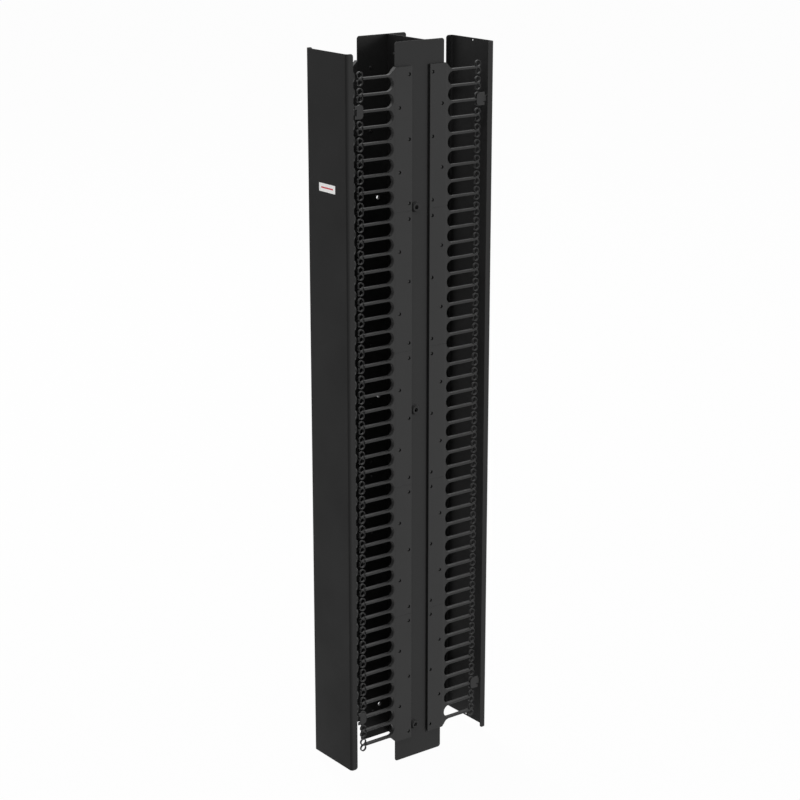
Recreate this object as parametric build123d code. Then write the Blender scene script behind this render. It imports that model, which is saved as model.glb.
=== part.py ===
"""Two-sided vertical cable manager for a rack upright: a spine of two steel side plates and a web
carries four columns of moulded finger strips, and a sheet-steel cover clips on at the front and rear.

Millimetres. +Z is up, -Y is the front, +X is the right-hand side seen from the front. The origin is
on the floor, midway between the sides and midway between the two covers.
"""

import os

from build123d import *

# Rack grid
rack_unit = 44.45
fingers_per_strip = 9
strips_per_column = 5
units_beyond_strips = 1.5

# Spine: two flat side plates and a folded web between them
spine_width = 175.0
plate_depth = 170.0
plate_sheet = 2.0
plate_corner_radius = 8.0
web_from_middle = 18.0
web_sheet = 2.0
web_inside_bend = 2.5
web_flange_depth = 14.0
web_flange_corner_radius = 4.0
spine_forward = 3.5

# Flush rivets that hold the web to the side plates, and the open holes near the ends of the web
web_rivet_radius = 2.4
web_rivet_tail_radius = 4.0
web_rivet_tail_height = 1.6
web_rivet_from_face = 9.0
web_rivet_rows = 8
web_rivet_end_distance = 48.0
web_hole_radius = 3.5
web_hole_from_side = 32.0
web_hole_end_distance = 51.0

# Finger strips
strip_from_web = 13.0
strip_proud = 8.0
strip_wall = 3.0
strip_lip = 1.5
strip_undercut = 3.5
strip_seam = 0.4
strip_nose_length = 8.0
strip_nose_gap = 2.0
strip_edge_radius = 1.0
strip_end_cut = 7.5
root_beyond_plate = 9.5
plate_edge_clearance = 0.4
finger_length = 109.0
finger_height = 6.4
finger_thickness = 13.0
finger_setback = 0.5
finger_edge_chamfer = 1.3
ring_outer_radius = 10.0
ring_rim = 2.6
ring_overlap = 0.5
ring_thickness = 7.0
ring_edge_chamfer = 0.9
pocket_height = 34.0
pocket_margin = 1.0

# Rivets that hold the strips
strip_rivet_radius = 2.0
strip_rivet_head_radius = 3.2
strip_rivet_head_height = 1.8
strip_rivet_edge_chamfer = 0.9
strip_rivet_tail_radius = 3.5
strip_rivet_tail_height = 2.0
strip_recess_radius = 5.0
strip_recess_depth = 5.0
inner_rivet_from_edge = 9.5
outer_rivet_from_edge = 11.0
rivet_clearance = 0.1

# Raised bosses that take the bolts from the rack upright
mount_heights = (103.0, 1087.0, 1675.0)
mount_from_strip = 16.5
mount_bore_radius = 6.0
mount_base_radius = 15.5
mount_top_radius = 11.0
mount_spigot_radius = 8.5
mount_edge_radius = 1.5

# Covers
cover_setback = 0.5
cover_standoff = 39.0
cover_end_gap = 20.0
cover_sheet = 1.5
cover_flange_depth = 22.0
cover_inside_bend = 7.0
cover_corner_radius = 8.0
cover_hole_radius = 2.5
cover_hole_from_end = 6.0

# Blank label on the front cover
label_width = 76.0
label_height = 23.0
label_thickness = 0.2
label_corner_radius = 1.0
label_from_top = 373.0

# Clips between the finger heads and the cover
clip_finger_from_end = 3
clip_height = 36.0
clip_plate = 3.2
clip_inner_reach = 7.5
clip_inner_radius = 10.0
clip_ear_gap = 8.0
clip_ear_height = 9.0
clip_ear_length = 6.0
clip_peg_clearance = 0.3
clip_tongue_height = 16.0
clip_tongue_thickness = 3.0
clip_tongue_recess = 2.0
clip_root_gap = 1.0
clip_root_length = 6.0
clip_bump_length = 9.0
clip_bump_flat = 3.0
clip_cover_clearance = 0.3
clip_end_gap = 8.0

# Heights that follow from the rack grid
finger_total = fingers_per_strip * strips_per_column
frame_height = (finger_total + 2 * units_beyond_strips) * rack_unit
mid_height = frame_height / 2
strip_pitch = fingers_per_strip * rack_unit
strip_length = strip_pitch - strip_seam

# Places across the depth, outwards from the middle of the spine, and for the covers from the middle
# between them; the spine stands forward of that middle
plate_edge = plate_depth / 2
web_rivet_depth = web_from_middle + web_rivet_from_face
strip_inner_edge = web_from_middle + strip_from_web
slot_root = plate_edge + root_beyond_plate
head_centre = slot_root + finger_length
head_end = head_centre + ring_outer_radius
cover_inside = head_end + cover_standoff
cover_outside = cover_inside + cover_sheet
cover_flange_end = cover_outside - cover_flange_depth
inner_rivet_depth = strip_inner_edge + inner_rivet_from_edge
outer_rivet_depth = plate_edge - outer_rivet_from_edge
mount_depth = mount_from_strip - strip_inner_edge

# Places across the width, measured outwards from the middle
plate_face = spine_width / 2
plate_inside = plate_face - plate_sheet
strip_face = plate_face + strip_proud
finger_face = strip_face - finger_setback
finger_back = finger_face - finger_thickness
ring_face = finger_face - (finger_thickness - ring_thickness) / 2
cover_half_width = strip_face - cover_setback
cover_flange_inside = cover_half_width - cover_sheet
web_hole_side = plate_inside - web_hole_from_side

# Figure-eight head of a finger
ring_hole_radius = ring_outer_radius - ring_rim
ring_offset = ring_outer_radius - ring_overlap / 2

# The round root of the slots between the fingers
slot_radius = (rack_unit - finger_height) / 2

# Strips and clips are modelled for the rear right corner and turned to the others
corner_turns = {
    "rear_right": Rot(0, 0, 0),
    "rear_left": Rot(0, 180, 0),
    "front_right": Rot(180, 0, 0),
    "front_left": Rot(0, 0, 180),
}
upside_down_corners = ("rear_left", "front_right")
spine_place = Pos(0, -spine_forward, 0)


def placed(shape, corner, height):
    """A shape modelled about Z = 0 in the rear right corner, turned to its corner and lifted."""
    return spine_place * Pos(0, 0, height) * corner_turns[corner] * shape


def rod_x(radius, x_low, x_high, y, z):
    """A round bar along X."""
    return Pos((x_low + x_high) / 2, y, z) * Rot(0, 90, 0) * Cylinder(radius, x_high - x_low)


def rod_y(radius, y_low, y_high, x, z):
    """A round bar along Y."""
    return Pos(x, (y_low + y_high) / 2, z) * Rot(90, 0, 0) * Cylinder(radius, y_high - y_low)


def block(x_low, x_high, y_low, y_high, z_low, z_high):
    """A rectangular block between two corners."""
    centre = Pos((x_low + x_high) / 2, (y_low + y_high) / 2, (z_low + z_high) / 2)
    return centre * Box(x_high - x_low, y_high - y_low, z_high - z_low)


def folded_channel(half_width, depth, sheet, inside_bend, height, corner_radius):
    """A U of folded sheet: web along X with its back on Y = 0, flanges towards +Y, ends on Z."""
    outside = Rectangle(2 * half_width, depth, align=(Align.CENTER, Align.MIN))
    outside = fillet(outside.vertices().group_by(Axis.Y)[0], inside_bend + sheet)
    inside = Pos(0, sheet) * Rectangle(2 * (half_width - sheet), depth, align=(Align.CENTER, Align.MIN))
    inside = fillet(inside.vertices().group_by(Axis.Y)[0], inside_bend)
    channel = extrude(outside - inside, height)
    flange_corners = channel.edges().filter_by(Axis.X).group_by(Axis.Y)[-1]
    return fillet(flange_corners, corner_radius)


def rivet_heights():
    """Heights of the rivets that hold the web."""
    span = frame_height - 2 * web_rivet_end_distance
    return [web_rivet_end_distance + row * span / (web_rivet_rows - 1) for row in range(web_rivet_rows)]


def strip_heights():
    """Heights of the middles of the strips in a column, from the top down."""
    half_count = (strips_per_column - 1) / 2
    return [mid_height + (half_count - index) * strip_pitch for index in range(strips_per_column)]


def clip_heights():
    """Heights of the fingers that carry the upper and the lower clips."""
    half_span = (finger_total - 1) / 2 - (clip_finger_from_end - 1)
    return {"upper": mid_height + half_span * rack_unit, "lower": mid_height - half_span * rack_unit}


def finger_offsets():
    """Heights of a strip's fingers about the strip's middle."""
    half_count = (fingers_per_strip - 1) / 2
    return [(index - half_count) * rack_unit for index in range(fingers_per_strip)]


def strip_rivet_places():
    """Depth and height of a strip's rivets: inner ones at both ends and the middle, outer ones between."""
    end = (fingers_per_strip - 1) / 2 * rack_unit
    inner = [(inner_rivet_depth, height) for height in (-end, 0.0, end)]
    outer = [(outer_rivet_depth, height) for height in (-end / 2, end / 2)]
    return inner + outer


def make_side_plate(side):
    """A flat side plate with its rivet holes and the seats of the mounting bosses."""
    plate = block(plate_inside, plate_face, -plate_edge, plate_edge, 0, frame_height)
    plate = fillet(plate.edges().filter_by(Axis.X), plate_corner_radius)
    bores = [(web_rivet_radius, web_rivet_depth, height) for height in rivet_heights()]
    bores += [(mount_spigot_radius, mount_depth, height) for height in mount_heights]
    for middle in strip_heights():
        for depth, offset in strip_rivet_places():
            bores += [(strip_rivet_radius, end * depth, middle + offset) for end in (-1, 1)]
    for radius, depth, height in bores:
        plate -= rod_x(radius + rivet_clearance, plate_inside - plate_sheet, strip_face, depth, height)
    return plate if side > 0 else mirror(plate, Plane.YZ)


def make_spine_web():
    """The web between the side plates, its flanges folded to the rear, with open holes near its ends."""
    web = folded_channel(
        plate_inside,
        web_flange_depth,
        web_sheet,
        web_inside_bend,
        frame_height,
        web_flange_corner_radius,
    )
    web = Pos(0, web_from_middle, 0) * web
    for height in rivet_heights():
        web -= rod_x(web_rivet_radius + rivet_clearance, -plate_face, plate_face, web_rivet_depth, height)
    y_low, y_high = web_from_middle - web_sheet, web_from_middle + 2 * web_sheet
    for side in (-1, 1):
        for height in (web_hole_end_distance, frame_height - web_hole_end_distance):
            web -= rod_y(web_hole_radius, y_low, y_high, side * web_hole_side, height)
    return web


def make_web_rivets():
    """Rivets through the side plates and the web's flanges, flush outside, with flat tails inside."""
    back = plate_inside - web_sheet
    rivet = rod_x(web_rivet_radius, back, plate_face, 0, 0)
    rivet += rod_x(web_rivet_tail_radius, back - web_rivet_tail_height, back, 0, 0)
    rivets = []
    for turn in (0, 180):
        for height in rivet_heights():
            rivets.append(Pos(0, web_rivet_depth, height) * Rot(0, 0, turn) * rivet)
    return Compound(rivets)


def make_mount_spacers(side):
    """The raised bosses of one side: a tapered ring on the plate with a spigot through the sheet."""
    spacers = []
    for height in mount_heights:
        ring = Rot(0, 90, 0) * Cone(mount_base_radius, mount_top_radius, strip_proud)
        ring = Pos((plate_face + strip_face) / 2, 0, 0) * ring
        ring = fillet(ring.edges().group_by(Axis.X)[-1], mount_edge_radius)
        ring += rod_x(mount_spigot_radius, plate_inside, plate_face, 0, 0)
        ring -= rod_x(mount_bore_radius, plate_inside - plate_sheet, 2 * strip_face, 0, 0)
        turn = Rot(0, 0, 0 if side > 0 else 180)
        spacers.append(Pos(0, mount_depth, height) * turn * ring)
    return Compound(spacers)


def make_strip(cut_end):
    """A finger strip about its own middle, with its back on a side plate and one end cut on the slant.

    The cut end is 1 for the upper end, -1 for the lower end and 0 for a strip between two others.
    """
    half_length = strip_length / 2
    lip = plate_edge + plate_edge_clearance
    base_end = slot_root - strip_nose_gap
    nose_start = base_end - strip_nose_length

    # Base: flat outer face, rounded down towards the fingers, hooked round the plate's edge
    flat = Polyline(
        (finger_face, base_end),
        (finger_back, base_end),
        (finger_back, lip),
        (plate_face, lip),
        (plate_face, strip_inner_edge),
        (strip_face, strip_inner_edge),
        (strip_face, nose_start),
    )
    nose = TangentArc((strip_face, nose_start), (finger_face, base_end), tangent=(0, 1))
    section = make_face([flat, nose])
    base = Pos(0, 0, -half_length) * extrude(section, strip_length)
    front_corner = base.edges().filter_by(Axis.Z).group_by(Axis.Y)[0].sort_by(Axis.X)[-1]
    base = fillet(front_corner, strip_edge_radius)

    # Fingers: a comb with full-round slot roots, half a slot at each end
    bar_end = head_centre - ring_hole_radius
    comb_start = lip + plate_edge_clearance
    comb = Pos((comb_start + bar_end) / 2, 0) * Rectangle(bar_end - comb_start, strip_length)
    slot_height = 2 * slot_radius
    for index in range(fingers_per_strip + 1):
        height = (index - fingers_per_strip / 2) * rack_unit
        round_centre = slot_root + slot_radius
        comb -= Pos(round_centre, height) * Circle(slot_radius)
        comb -= Pos((round_centre + head_end) / 2, height) * Rectangle(head_end - round_centre, slot_height)
    fingers = extrude(Plane.YZ.offset(finger_back) * comb, finger_thickness)
    face_edges = fingers.faces().sort_by(Axis.X)[-1].edges() + fingers.faces().sort_by(Axis.X)[0].edges()
    fingers = chamfer(face_edges, finger_edge_chamfer)

    # Heads: two rings joined at the waist
    head = Pos(head_centre, 0) * Rectangle(ring_outer_radius + ring_rim, 2 * ring_rim - ring_overlap)
    for offset in (-ring_offset, ring_offset):
        head += Pos(head_centre, offset) * Circle(ring_outer_radius)
    for offset in (-ring_offset, ring_offset):
        head -= Pos(head_centre, offset) * Circle(ring_hole_radius)
    ring_back = ring_face - ring_thickness
    head = extrude(Plane.YZ.offset(ring_back) * head, ring_thickness)
    head_edges = head.faces().sort_by(Axis.X)[-1].edges() + head.faces().sort_by(Axis.X)[0].edges()
    head = chamfer(head_edges, ring_edge_chamfer)

    strip = base + fingers
    for height in finger_offsets():
        strip += Pos(0, 0, height) * head

    # Slanting end beside the first or last finger of a column
    if cut_end:
        leg = slot_radius / 2**0.5
        cut_start = slot_root - strip_end_cut
        outline = Polyline(
            (cut_start, cut_end * half_length),
            (cut_start + leg, cut_end * half_length),
            (cut_start + leg, cut_end * (half_length - leg)),
            close=True,
        )
        strip -= extrude(Plane.YZ.offset(finger_back) * make_face(outline), strip_face - finger_back)

    # Open groove under the inner edge, hollow back, and the stepped holes for the rivets
    groove_end = strip_inner_edge + strip_undercut
    strip -= block(
        plate_inside,
        strip_face - strip_lip,
        strip_inner_edge - strip_undercut,
        groove_end,
        -strip_length,
        strip_length,
    )
    pocket_low = inner_rivet_depth + strip_recess_radius + pocket_margin
    pocket_high = outer_rivet_depth - strip_recess_radius - pocket_margin
    for height in finger_offsets():
        z_low, z_high = height - pocket_height / 2, height + pocket_height / 2
        strip -= block(plate_inside, strip_face - strip_wall, pocket_low, pocket_high, z_low, z_high)
    for depth, height in strip_rivet_places():
        strip -= rod_x(strip_rivet_radius + rivet_clearance, plate_inside, strip_face, depth, height)
        recess_floor = strip_face - strip_recess_depth
        strip -= rod_x(strip_recess_radius, recess_floor, 2 * strip_face, depth, height)
    return strip


def make_strip_rivets(corner):
    """The rivets of one column of strips: head in the strip's recess, tail behind the side plate."""
    seat = strip_face - strip_recess_depth
    back = plate_inside
    rivet = rod_x(strip_rivet_radius, back - strip_rivet_tail_height, seat, 0, 0)
    head = rod_x(strip_rivet_head_radius, seat, seat + strip_rivet_head_height, 0, 0)
    rivet += chamfer(head.edges().group_by(Axis.X)[-1], strip_rivet_edge_chamfer)
    tail = rod_x(strip_rivet_tail_radius, back - strip_rivet_tail_height, back, 0, 0)
    rivet += chamfer(tail.edges().group_by(Axis.X)[0], strip_rivet_edge_chamfer)
    rivets = []
    for height in strip_heights():
        for depth, offset in strip_rivet_places():
            rivets.append(placed(Pos(0, depth, offset) * rivet, corner, height))
    return Compound(rivets)


def make_clip():
    """A cover clip about its own middle: plate with ears, pegs in the head's rings, sprung tongue."""
    plate_low = head_centre - clip_inner_reach
    plate_high = cover_flange_end - clip_ear_gap
    waist_high = plate_high - clip_ear_length
    plate = Pos((plate_low + waist_high) / 2, 0) * Rectangle(waist_high - plate_low, clip_height)
    plate = fillet(plate.vertices().group_by(Axis.X)[0], clip_inner_radius)
    for side in (-1, 1):
        ear_middle = side * (clip_height - clip_ear_height) / 2
        ear_low = waist_high - clip_ear_length
        plate += Pos((ear_low + plate_high) / 2, ear_middle) * Rectangle(plate_high - ear_low, clip_ear_height)
    clip = extrude(Plane.YZ.offset(ring_face) * plate, clip_plate)

    # Pegs fill the two rings of the finger's head
    peg_radius = ring_hole_radius - clip_peg_clearance
    for offset in (-ring_offset, ring_offset):
        clip += rod_x(peg_radius, ring_face - ring_thickness, ring_face, head_centre, offset)

    # Tongue: drops behind the plate, runs out under the cover's flange and bears on its inside
    root_low = head_end + clip_root_gap
    root_high = root_low + clip_root_length
    tongue_face = ring_face - clip_tongue_recess
    tongue_back = tongue_face - clip_tongue_thickness
    bump_face = cover_flange_inside - clip_cover_clearance
    tongue_end = cover_inside - clip_end_gap
    bump_start = tongue_end - clip_bump_length
    bump_middle = tongue_end - clip_bump_length / 2
    section = make_face(
        Polyline(
            (ring_face, root_low),
            (ring_face, root_high),
            (tongue_face, root_high),
            (tongue_face, bump_start),
            (bump_face, bump_middle - clip_bump_flat / 2),
            (bump_face, bump_middle + clip_bump_flat / 2),
            (tongue_face, tongue_end),
            (tongue_back, tongue_end),
            (tongue_back, root_low),
            close=True,
        )
    )
    return clip + Pos(0, 0, -clip_tongue_height / 2) * extrude(section, clip_tongue_height)


def make_cover():
    """A cover as it stands at the rear: a folded U that opens towards the spine."""
    height = frame_height - 2 * cover_end_gap
    cover = folded_channel(
        cover_half_width,
        cover_flange_depth,
        cover_sheet,
        cover_inside_bend,
        height,
        cover_corner_radius,
    )
    return Pos(0, cover_outside, cover_end_gap) * Rot(0, 0, 180) * cover


def make_rear_cover():
    """The rear cover, which has a small hole at each end."""
    cover = make_cover()
    for height in (cover_end_gap + cover_hole_from_end, frame_height - cover_end_gap - cover_hole_from_end):
        cover -= rod_y(cover_hole_radius, cover_inside - cover_sheet, cover_outside + cover_sheet, 0, height)
    return cover


def make_label():
    """The blank label on the front cover's face."""
    middle = frame_height - cover_end_gap - label_from_top
    outline = RectangleRounded(label_width, label_height, label_corner_radius)
    face_plane = Plane(origin=(0, -cover_outside, middle), x_dir=(1, 0, 0), z_dir=(0, -1, 0))
    return extrude(face_plane * outline, label_thickness)


def cut_end_of(number, corner):
    """Which end of a column's strip is cut: the first at its top, the last at its foot."""
    end = {1: 1, strips_per_column: -1}.get(number, 0)
    return -end if corner in upside_down_corners else end


def make_parts():
    """Every node of the cable manager by name."""
    parts = {
        "left_side_plate": spine_place * make_side_plate(-1),
        "right_side_plate": spine_place * make_side_plate(1),
        "spine_web": spine_place * make_spine_web(),
        "web_rivets": spine_place * make_web_rivets(),
        "left_mount_spacers": spine_place * make_mount_spacers(-1),
        "right_mount_spacers": spine_place * make_mount_spacers(1),
    }
    strips = {cut_end: make_strip(cut_end) for cut_end in (-1, 0, 1)}
    clip = make_clip()
    for corner in corner_turns:
        for number, height in enumerate(strip_heights(), start=1):
            strip = strips[cut_end_of(number, corner)]
            parts[f"{corner}_strip_{number}"] = placed(strip, corner, height)
        parts[f"{corner}_rivets"] = make_strip_rivets(corner)
        for level, height in clip_heights().items():
            parts[f"{corner}_{level}_clip"] = placed(clip, corner, height)
    parts["rear_cover"] = make_rear_cover()
    parts["front_cover"] = Rot(0, 0, 180) * make_cover()
    parts["front_label"] = make_label()
    return parts


os.makedirs("parts", exist_ok=True)
for name, shape in make_parts().items():
    export_step(shape, f"parts/{name}.step")
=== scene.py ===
import math

import bpy
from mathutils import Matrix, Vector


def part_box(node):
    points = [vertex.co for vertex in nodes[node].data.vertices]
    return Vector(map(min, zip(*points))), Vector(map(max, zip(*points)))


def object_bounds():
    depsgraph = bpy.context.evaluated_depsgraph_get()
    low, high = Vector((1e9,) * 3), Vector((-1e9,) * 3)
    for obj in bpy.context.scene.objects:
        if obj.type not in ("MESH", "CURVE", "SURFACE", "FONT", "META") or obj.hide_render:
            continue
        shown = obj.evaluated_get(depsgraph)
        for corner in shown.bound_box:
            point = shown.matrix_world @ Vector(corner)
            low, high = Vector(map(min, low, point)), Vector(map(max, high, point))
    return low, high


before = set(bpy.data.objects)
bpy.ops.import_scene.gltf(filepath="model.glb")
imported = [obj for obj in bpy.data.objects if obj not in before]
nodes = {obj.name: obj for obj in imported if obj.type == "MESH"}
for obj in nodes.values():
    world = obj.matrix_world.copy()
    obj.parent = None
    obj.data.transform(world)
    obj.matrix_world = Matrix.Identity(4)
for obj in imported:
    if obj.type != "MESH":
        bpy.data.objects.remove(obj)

cad_low, cad_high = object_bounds()
corners = ("front_left", "front_right", "rear_left", "rear_right")
strip_numbers = range(1, 6)
clip_levels = ("upper", "lower")

# Camera, as in the photograph
camera_place = (4.53660, -3.42595, 2.79164)
camera_turn = math.radians(52.9764)
camera_dip = math.radians(16.6572)
camera_lens = 92.1800
camera_sensor = 36.0

# Shading of the CAD nodes
weld_distance = 0.00001
crease_angle = math.radians(42.0)
normal_weight = 60

# Band that most values of a noise texture fall in
noise_low = 0.35
noise_high = 0.65

# Label
label_white = (0.92, 0.92, 0.91, 1.0)
label_coat = 0.3
# Painted light: the label's own glow, in place of light falling on it
label_painted_glow = 0.35
label_rough = (0.28, 0.40)
label_waves = 60.0
rule_red = (0.55, 0.02, 0.03, 1.0)
rule_half_length = 0.028
rule_half_height = 0.0022

# Studio
floor_size = 120.0
floor_grey = 0.09
floor_white_share = 0.98
key_place = (-6.5, 1.2, 8.8)
key_size = 2.5
key_power = 6600.0
front_place = (4.2, -4.6, 10.1)
front_size = 2.5
front_power = 310.0
side_place = (8.0, 4.2, 2.9)
side_size = 3.0
side_power = 940.0
world_level = 0.15


def new_group(name, inputs, outputs):
    """An empty shader node group with its named sockets, and its input and output nodes."""
    group = bpy.data.node_groups.new(name, "ShaderNodeTree")
    for label, kind in inputs:
        group.interface.new_socket(label, in_out="INPUT", socket_type=kind)
    for label, kind in outputs:
        group.interface.new_socket(label, in_out="OUTPUT", socket_type=kind)
    return group, group.nodes.new("NodeGroupInput"), group.nodes.new("NodeGroupOutput")


def noise_node(tree, vector, scale, detail):
    """A noise texture read at a vector; the scale is a number or a socket."""
    noise = tree.nodes.new("ShaderNodeTexNoise")
    noise.inputs["Detail"].default_value = detail
    tree.links.new(vector, noise.inputs["Vector"])
    if isinstance(scale, bpy.types.NodeSocket):
        tree.links.new(scale, noise.inputs["Scale"])
    else:
        noise.inputs["Scale"].default_value = scale
    return noise.outputs["Fac"]


def spread(tree, value, low, high):
    """A noise value stretched from its usual band to run between two sockets."""
    stretch = tree.nodes.new("ShaderNodeMapRange")
    stretch.inputs["From Min"].default_value = noise_low
    stretch.inputs["From Max"].default_value = noise_high
    tree.links.new(value, stretch.inputs["Value"])
    tree.links.new(low, stretch.inputs["To Min"])
    tree.links.new(high, stretch.inputs["To Max"])
    return stretch.outputs["Result"]


def make_grain_group():
    """Surface relief: a fine grain riding on a slow ripple."""
    group, given, result = new_group(
        "surface_grain",
        (
            ("Vector", "NodeSocketVector"),
            ("Grain", "NodeSocketFloat"),
            ("Ripple", "NodeSocketFloat"),
            ("Ripple Share", "NodeSocketFloat"),
        ),
        (("Height", "NodeSocketFloat"),),
    )
    fine = noise_node(group, given.outputs["Vector"], given.outputs["Grain"], 3.0)
    slow = noise_node(group, given.outputs["Vector"], given.outputs["Ripple"], 1.0)
    blend = group.nodes.new("ShaderNodeMix")
    group.links.new(given.outputs["Ripple Share"], blend.inputs["Factor"])
    group.links.new(fine, blend.inputs["A"])
    group.links.new(slow, blend.inputs["B"])
    group.links.new(blend.outputs["Result"], result.inputs["Height"])
    return group


def make_patch_group():
    """Slow change of tone and gloss over a large surface, as handling and the oven leave it."""
    group, given, result = new_group(
        "tone_patches",
        (
            ("Vector", "NodeSocketVector"),
            ("Patch", "NodeSocketFloat"),
            ("Rough Low", "NodeSocketFloat"),
            ("Rough High", "NodeSocketFloat"),
        ),
        (("Tone", "NodeSocketFloat"), ("Roughness", "NodeSocketFloat")),
    )
    cloud = noise_node(group, given.outputs["Vector"], given.outputs["Patch"], 4.0)
    rough = spread(group, cloud, given.outputs["Rough Low"], given.outputs["Rough High"])
    group.links.new(cloud, result.inputs["Tone"])
    group.links.new(rough, result.inputs["Roughness"])
    return group


grain_group = make_grain_group()
patch_group = make_patch_group()


def black_finish(
    name, dark, light, patch, rough, grain, ripple, ripple_share, relief, specular, metallic=0.0
):
    """A black material with its own tone, gloss and relief.

    Patch, grain and ripple are in waves a metre, and relief is in metres.
    """
    material = bpy.data.materials.new(name)
    material.use_nodes = True
    tree = material.node_tree
    shader = tree.nodes["Principled BSDF"]
    shader.inputs["Specular IOR Level"].default_value = specular
    shader.inputs["Metallic"].default_value = metallic
    place = tree.nodes.new("ShaderNodeTexCoord").outputs["Object"]

    patches = tree.nodes.new("ShaderNodeGroup")
    patches.node_tree = patch_group
    patches.inputs["Patch"].default_value = patch
    patches.inputs["Rough Low"].default_value, patches.inputs["Rough High"].default_value = rough
    tree.links.new(place, patches.inputs["Vector"])
    tree.links.new(patches.outputs["Roughness"], shader.inputs["Roughness"])

    tone = tree.nodes.new("ShaderNodeMix")
    tone.data_type = "RGBA"
    tone.inputs["A"].default_value = (*dark, 1.0)
    tone.inputs["B"].default_value = (*light, 1.0)
    tree.links.new(patches.outputs["Tone"], tone.inputs["Factor"])
    tree.links.new(tone.outputs["Result"], shader.inputs["Base Color"])

    surface = tree.nodes.new("ShaderNodeGroup")
    surface.node_tree = grain_group
    surface.inputs["Grain"].default_value = grain
    surface.inputs["Ripple"].default_value = ripple
    surface.inputs["Ripple Share"].default_value = ripple_share
    bump = tree.nodes.new("ShaderNodeBump")
    bump.inputs["Distance"].default_value = relief
    tree.links.new(place, surface.inputs["Vector"])
    tree.links.new(surface.outputs["Height"], bump.inputs["Height"])
    tree.links.new(bump.outputs["Normal"], shader.inputs["Normal"])
    return material


def grey(level):
    """A neutral colour."""
    return (level, level, level)


def smooth(node):
    """Shades rounded stretches as one surface and keeps folds and cut edges crisp."""
    node.data.shade_smooth()
    weld = node.modifiers.new("weld", "WELD")
    weld.merge_threshold = weld_distance
    crease = node.modifiers.new("crease", "EDGE_SPLIT")
    crease.split_angle = crease_angle
    blend = node.modifiers.new("blend", "WEIGHTED_NORMAL")
    blend.weight = normal_weight


def dress(names, material):
    """Gives CAD nodes a finish and smooth rounded stretches."""
    for name in names:
        node = nodes[name]
        node.data.materials.clear()
        node.data.materials.append(material)
        smooth(node)


dress(
    (
        "left_side_plate",
        "right_side_plate",
        "spine_web",
        "web_rivets",
        "left_mount_spacers",
        "right_mount_spacers",
    ),
    black_finish(
        "frame_paint",
        dark=grey(0.017),
        light=grey(0.021),
        patch=5.0,
        rough=(0.50, 0.62),
        grain=1400.0,
        ripple=220.0,
        ripple_share=0.45,
        relief=0.00012,
        specular=0.15,
    ),
)
dress(
    ("front_cover", "rear_cover"),
    black_finish(
        "cover_paint",
        dark=grey(0.0185),
        light=grey(0.0228),
        patch=4.0,
        rough=(0.46, 0.58),
        grain=1400.0,
        ripple=220.0,
        ripple_share=0.45,
        relief=0.00012,
        specular=0.1,
    ),
)
dress(
    [f"{corner}_strip_{number}" for corner in corners for number in strip_numbers],
    black_finish(
        "strip_plastic",
        dark=grey(0.0195),
        light=grey(0.0235),
        patch=14.0,
        rough=(0.42, 0.56),
        grain=2600.0,
        ripple=500.0,
        ripple_share=0.25,
        relief=0.00006,
        specular=0.2,
    ),
)
dress(
    [f"{corner}_{level}_clip" for corner in corners for level in clip_levels],
    black_finish(
        "clip_plastic",
        dark=grey(0.018),
        light=grey(0.023),
        patch=40.0,
        rough=(0.40, 0.52),
        grain=2600.0,
        ripple=600.0,
        ripple_share=0.2,
        relief=0.00005,
        specular=0.2,
    ),
)
dress(
    [f"{corner}_rivets" for corner in corners],
    black_finish(
        "rivet_steel",
        dark=grey(0.030),
        light=grey(0.060),
        patch=160.0,
        rough=(0.30, 0.45),
        grain=3000.0,
        ripple=900.0,
        ripple_share=0.4,
        relief=0.00003,
        specular=0.5,
        metallic=0.6,
    ),
)


def make_label_film():
    """Glossy white film with one plain red rule; a painted glow, standing in for light, keeps it
    white in weak light.
    """
    low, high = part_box("front_label")
    middle = (low + high) / 2
    material = bpy.data.materials.new("label_white")
    material.use_nodes = True
    tree = material.node_tree
    shader = tree.nodes["Principled BSDF"]
    shader.inputs["Coat Weight"].default_value = label_coat
    place = tree.nodes.new("ShaderNodeTexCoord").outputs["Object"]
    parts = tree.nodes.new("ShaderNodeSeparateXYZ")
    tree.links.new(place, parts.inputs["Vector"])

    within = []
    for axis, centre, half in (("X", middle.x, rule_half_length), ("Z", middle.z, rule_half_height)):
        near = tree.nodes.new("ShaderNodeMath")
        near.operation = "COMPARE"
        near.inputs[1].default_value = centre
        near.inputs[2].default_value = half
        tree.links.new(parts.outputs[axis], near.inputs[0])
        within.append(near.outputs["Value"])
    both = tree.nodes.new("ShaderNodeMath")
    both.operation = "MULTIPLY"
    tree.links.new(within[0], both.inputs[0])
    tree.links.new(within[1], both.inputs[1])

    ink = tree.nodes.new("ShaderNodeMix")
    ink.data_type = "RGBA"
    ink.inputs["A"].default_value = label_white
    ink.inputs["B"].default_value = rule_red
    tree.links.new(both.outputs["Value"], ink.inputs["Factor"])
    tree.links.new(ink.outputs["Result"], shader.inputs["Base Color"])
    # Painted light: the film and its red rule glow, so that the label reads white on the shaded
    # front face
    tree.links.new(ink.outputs["Result"], shader.inputs["Emission Color"])
    shader.inputs["Emission Strength"].default_value = label_painted_glow

    sheen = tree.nodes.new("ShaderNodeMapRange")
    sheen.inputs["To Min"].default_value, sheen.inputs["To Max"].default_value = label_rough
    tree.links.new(noise_node(tree, place, label_waves, 2.0), sheen.inputs["Value"])
    tree.links.new(sheen.outputs["Result"], shader.inputs["Roughness"])
    return material


dress(["front_label"], make_label_film())


def seen_directly(tree):
    """One for a ray from the camera, a reflection or clear material, and nothing for any other."""
    path = tree.nodes.new("ShaderNodeLightPath")
    total = path.outputs["Is Camera Ray"]
    for ray in ("Is Glossy Ray", "Is Transmission Ray"):
        add = tree.nodes.new("ShaderNodeMath")
        add.operation = "ADD"
        add.use_clamp = True
        tree.links.new(total, add.inputs[0])
        tree.links.new(path.outputs[ray], add.inputs[1])
        total = add.outputs["Value"]
    return total


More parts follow.
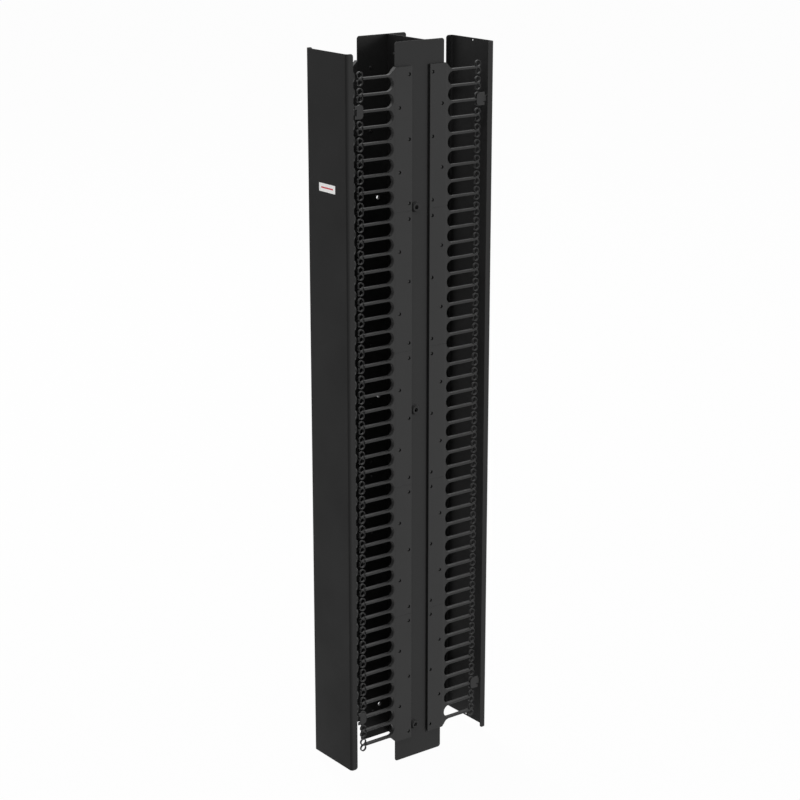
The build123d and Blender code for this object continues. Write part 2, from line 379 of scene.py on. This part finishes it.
def lay_floor():
    """A pale floor that shows white and keeps the soft shadow at the foot."""
    bpy.ops.object.select_all(action="DESELECT")
    bpy.ops.mesh.primitive_plane_add(size=floor_size, location=(0.0, 0.0, cad_low.z))
    floor = bpy.context.active_object
    floor.name = "floor"
    material = bpy.data.materials.new("floor_white")
    material.use_nodes = True
    tree = material.node_tree
    shader = tree.nodes["Principled BSDF"]
    shader.inputs["Base Color"].default_value = (*grey(floor_grey), 1.0)
    shader.inputs["Roughness"].default_value = 1.0
    shader.inputs["Specular IOR Level"].default_value = 0.0
    glow = tree.nodes.new("ShaderNodeEmission")
    share = tree.nodes.new("ShaderNodeMath")
    share.operation = "MULTIPLY"
    share.inputs[1].default_value = floor_white_share
    tree.links.new(seen_directly(tree), share.inputs[0])
    mix = tree.nodes.new("ShaderNodeMixShader")
    tree.links.new(share.outputs["Value"], mix.inputs["Fac"])
    tree.links.new(shader.outputs["BSDF"], mix.inputs[1])
    tree.links.new(glow.outputs["Emission"], mix.inputs[2])
    tree.links.new(mix.outputs["Shader"], tree.nodes["Material Output"].inputs["Surface"])
    floor.data.materials.append(material)


def light_world():
    """White to the eye, dim as a lamp."""
    world = bpy.data.worlds.new("studio")
    bpy.context.scene.world = world
    world.use_nodes = True
    tree = world.node_tree
    level = tree.nodes.new("ShaderNodeMapRange")
    level.inputs["To Min"].default_value = world_level
    level.inputs["To Max"].default_value = 1.0
    tree.links.new(seen_directly(tree), level.inputs["Value"])
    tree.nodes["Background"].inputs["Color"].default_value = (1.0, 1.0, 1.0, 1.0)
    tree.links.new(level.outputs["Result"], tree.nodes["Background"].inputs["Strength"])


def hang_softbox(name, place, size, power):
    """A square soft lamp that faces the middle of the object."""
    middle = (cad_low + cad_high) / 2
    bpy.ops.object.light_add(type="AREA", location=place)
    lamp = bpy.context.active_object
    lamp.name = name
    lamp.data.size = size
    lamp.data.energy = power
    # Kept out of reflections, so that no bright patch shows on the black paint
    lamp.visible_glossy = False
    lamp.rotation_euler = (middle - lamp.location).to_track_quat("-Z", "Y").to_euler()


def set_camera():
    """The photograph's view."""
    bpy.ops.object.camera_add(
        location=camera_place, rotation=(math.pi / 2 - camera_dip, 0.0, camera_turn)
    )
    camera = bpy.context.active_object
    camera.data.lens = camera_lens
    camera.data.sensor_width = camera_sensor
    camera.data.clip_end = floor_size
    bpy.context.scene.camera = camera


lay_floor()
light_world()
hang_softbox("key", key_place, key_size, key_power)
hang_softbox("front", front_place, front_size, front_power)
hang_softbox("side", side_place, side_size, side_power)
set_camera()
bpy.context.scene.view_settings.view_transform = "Standard"
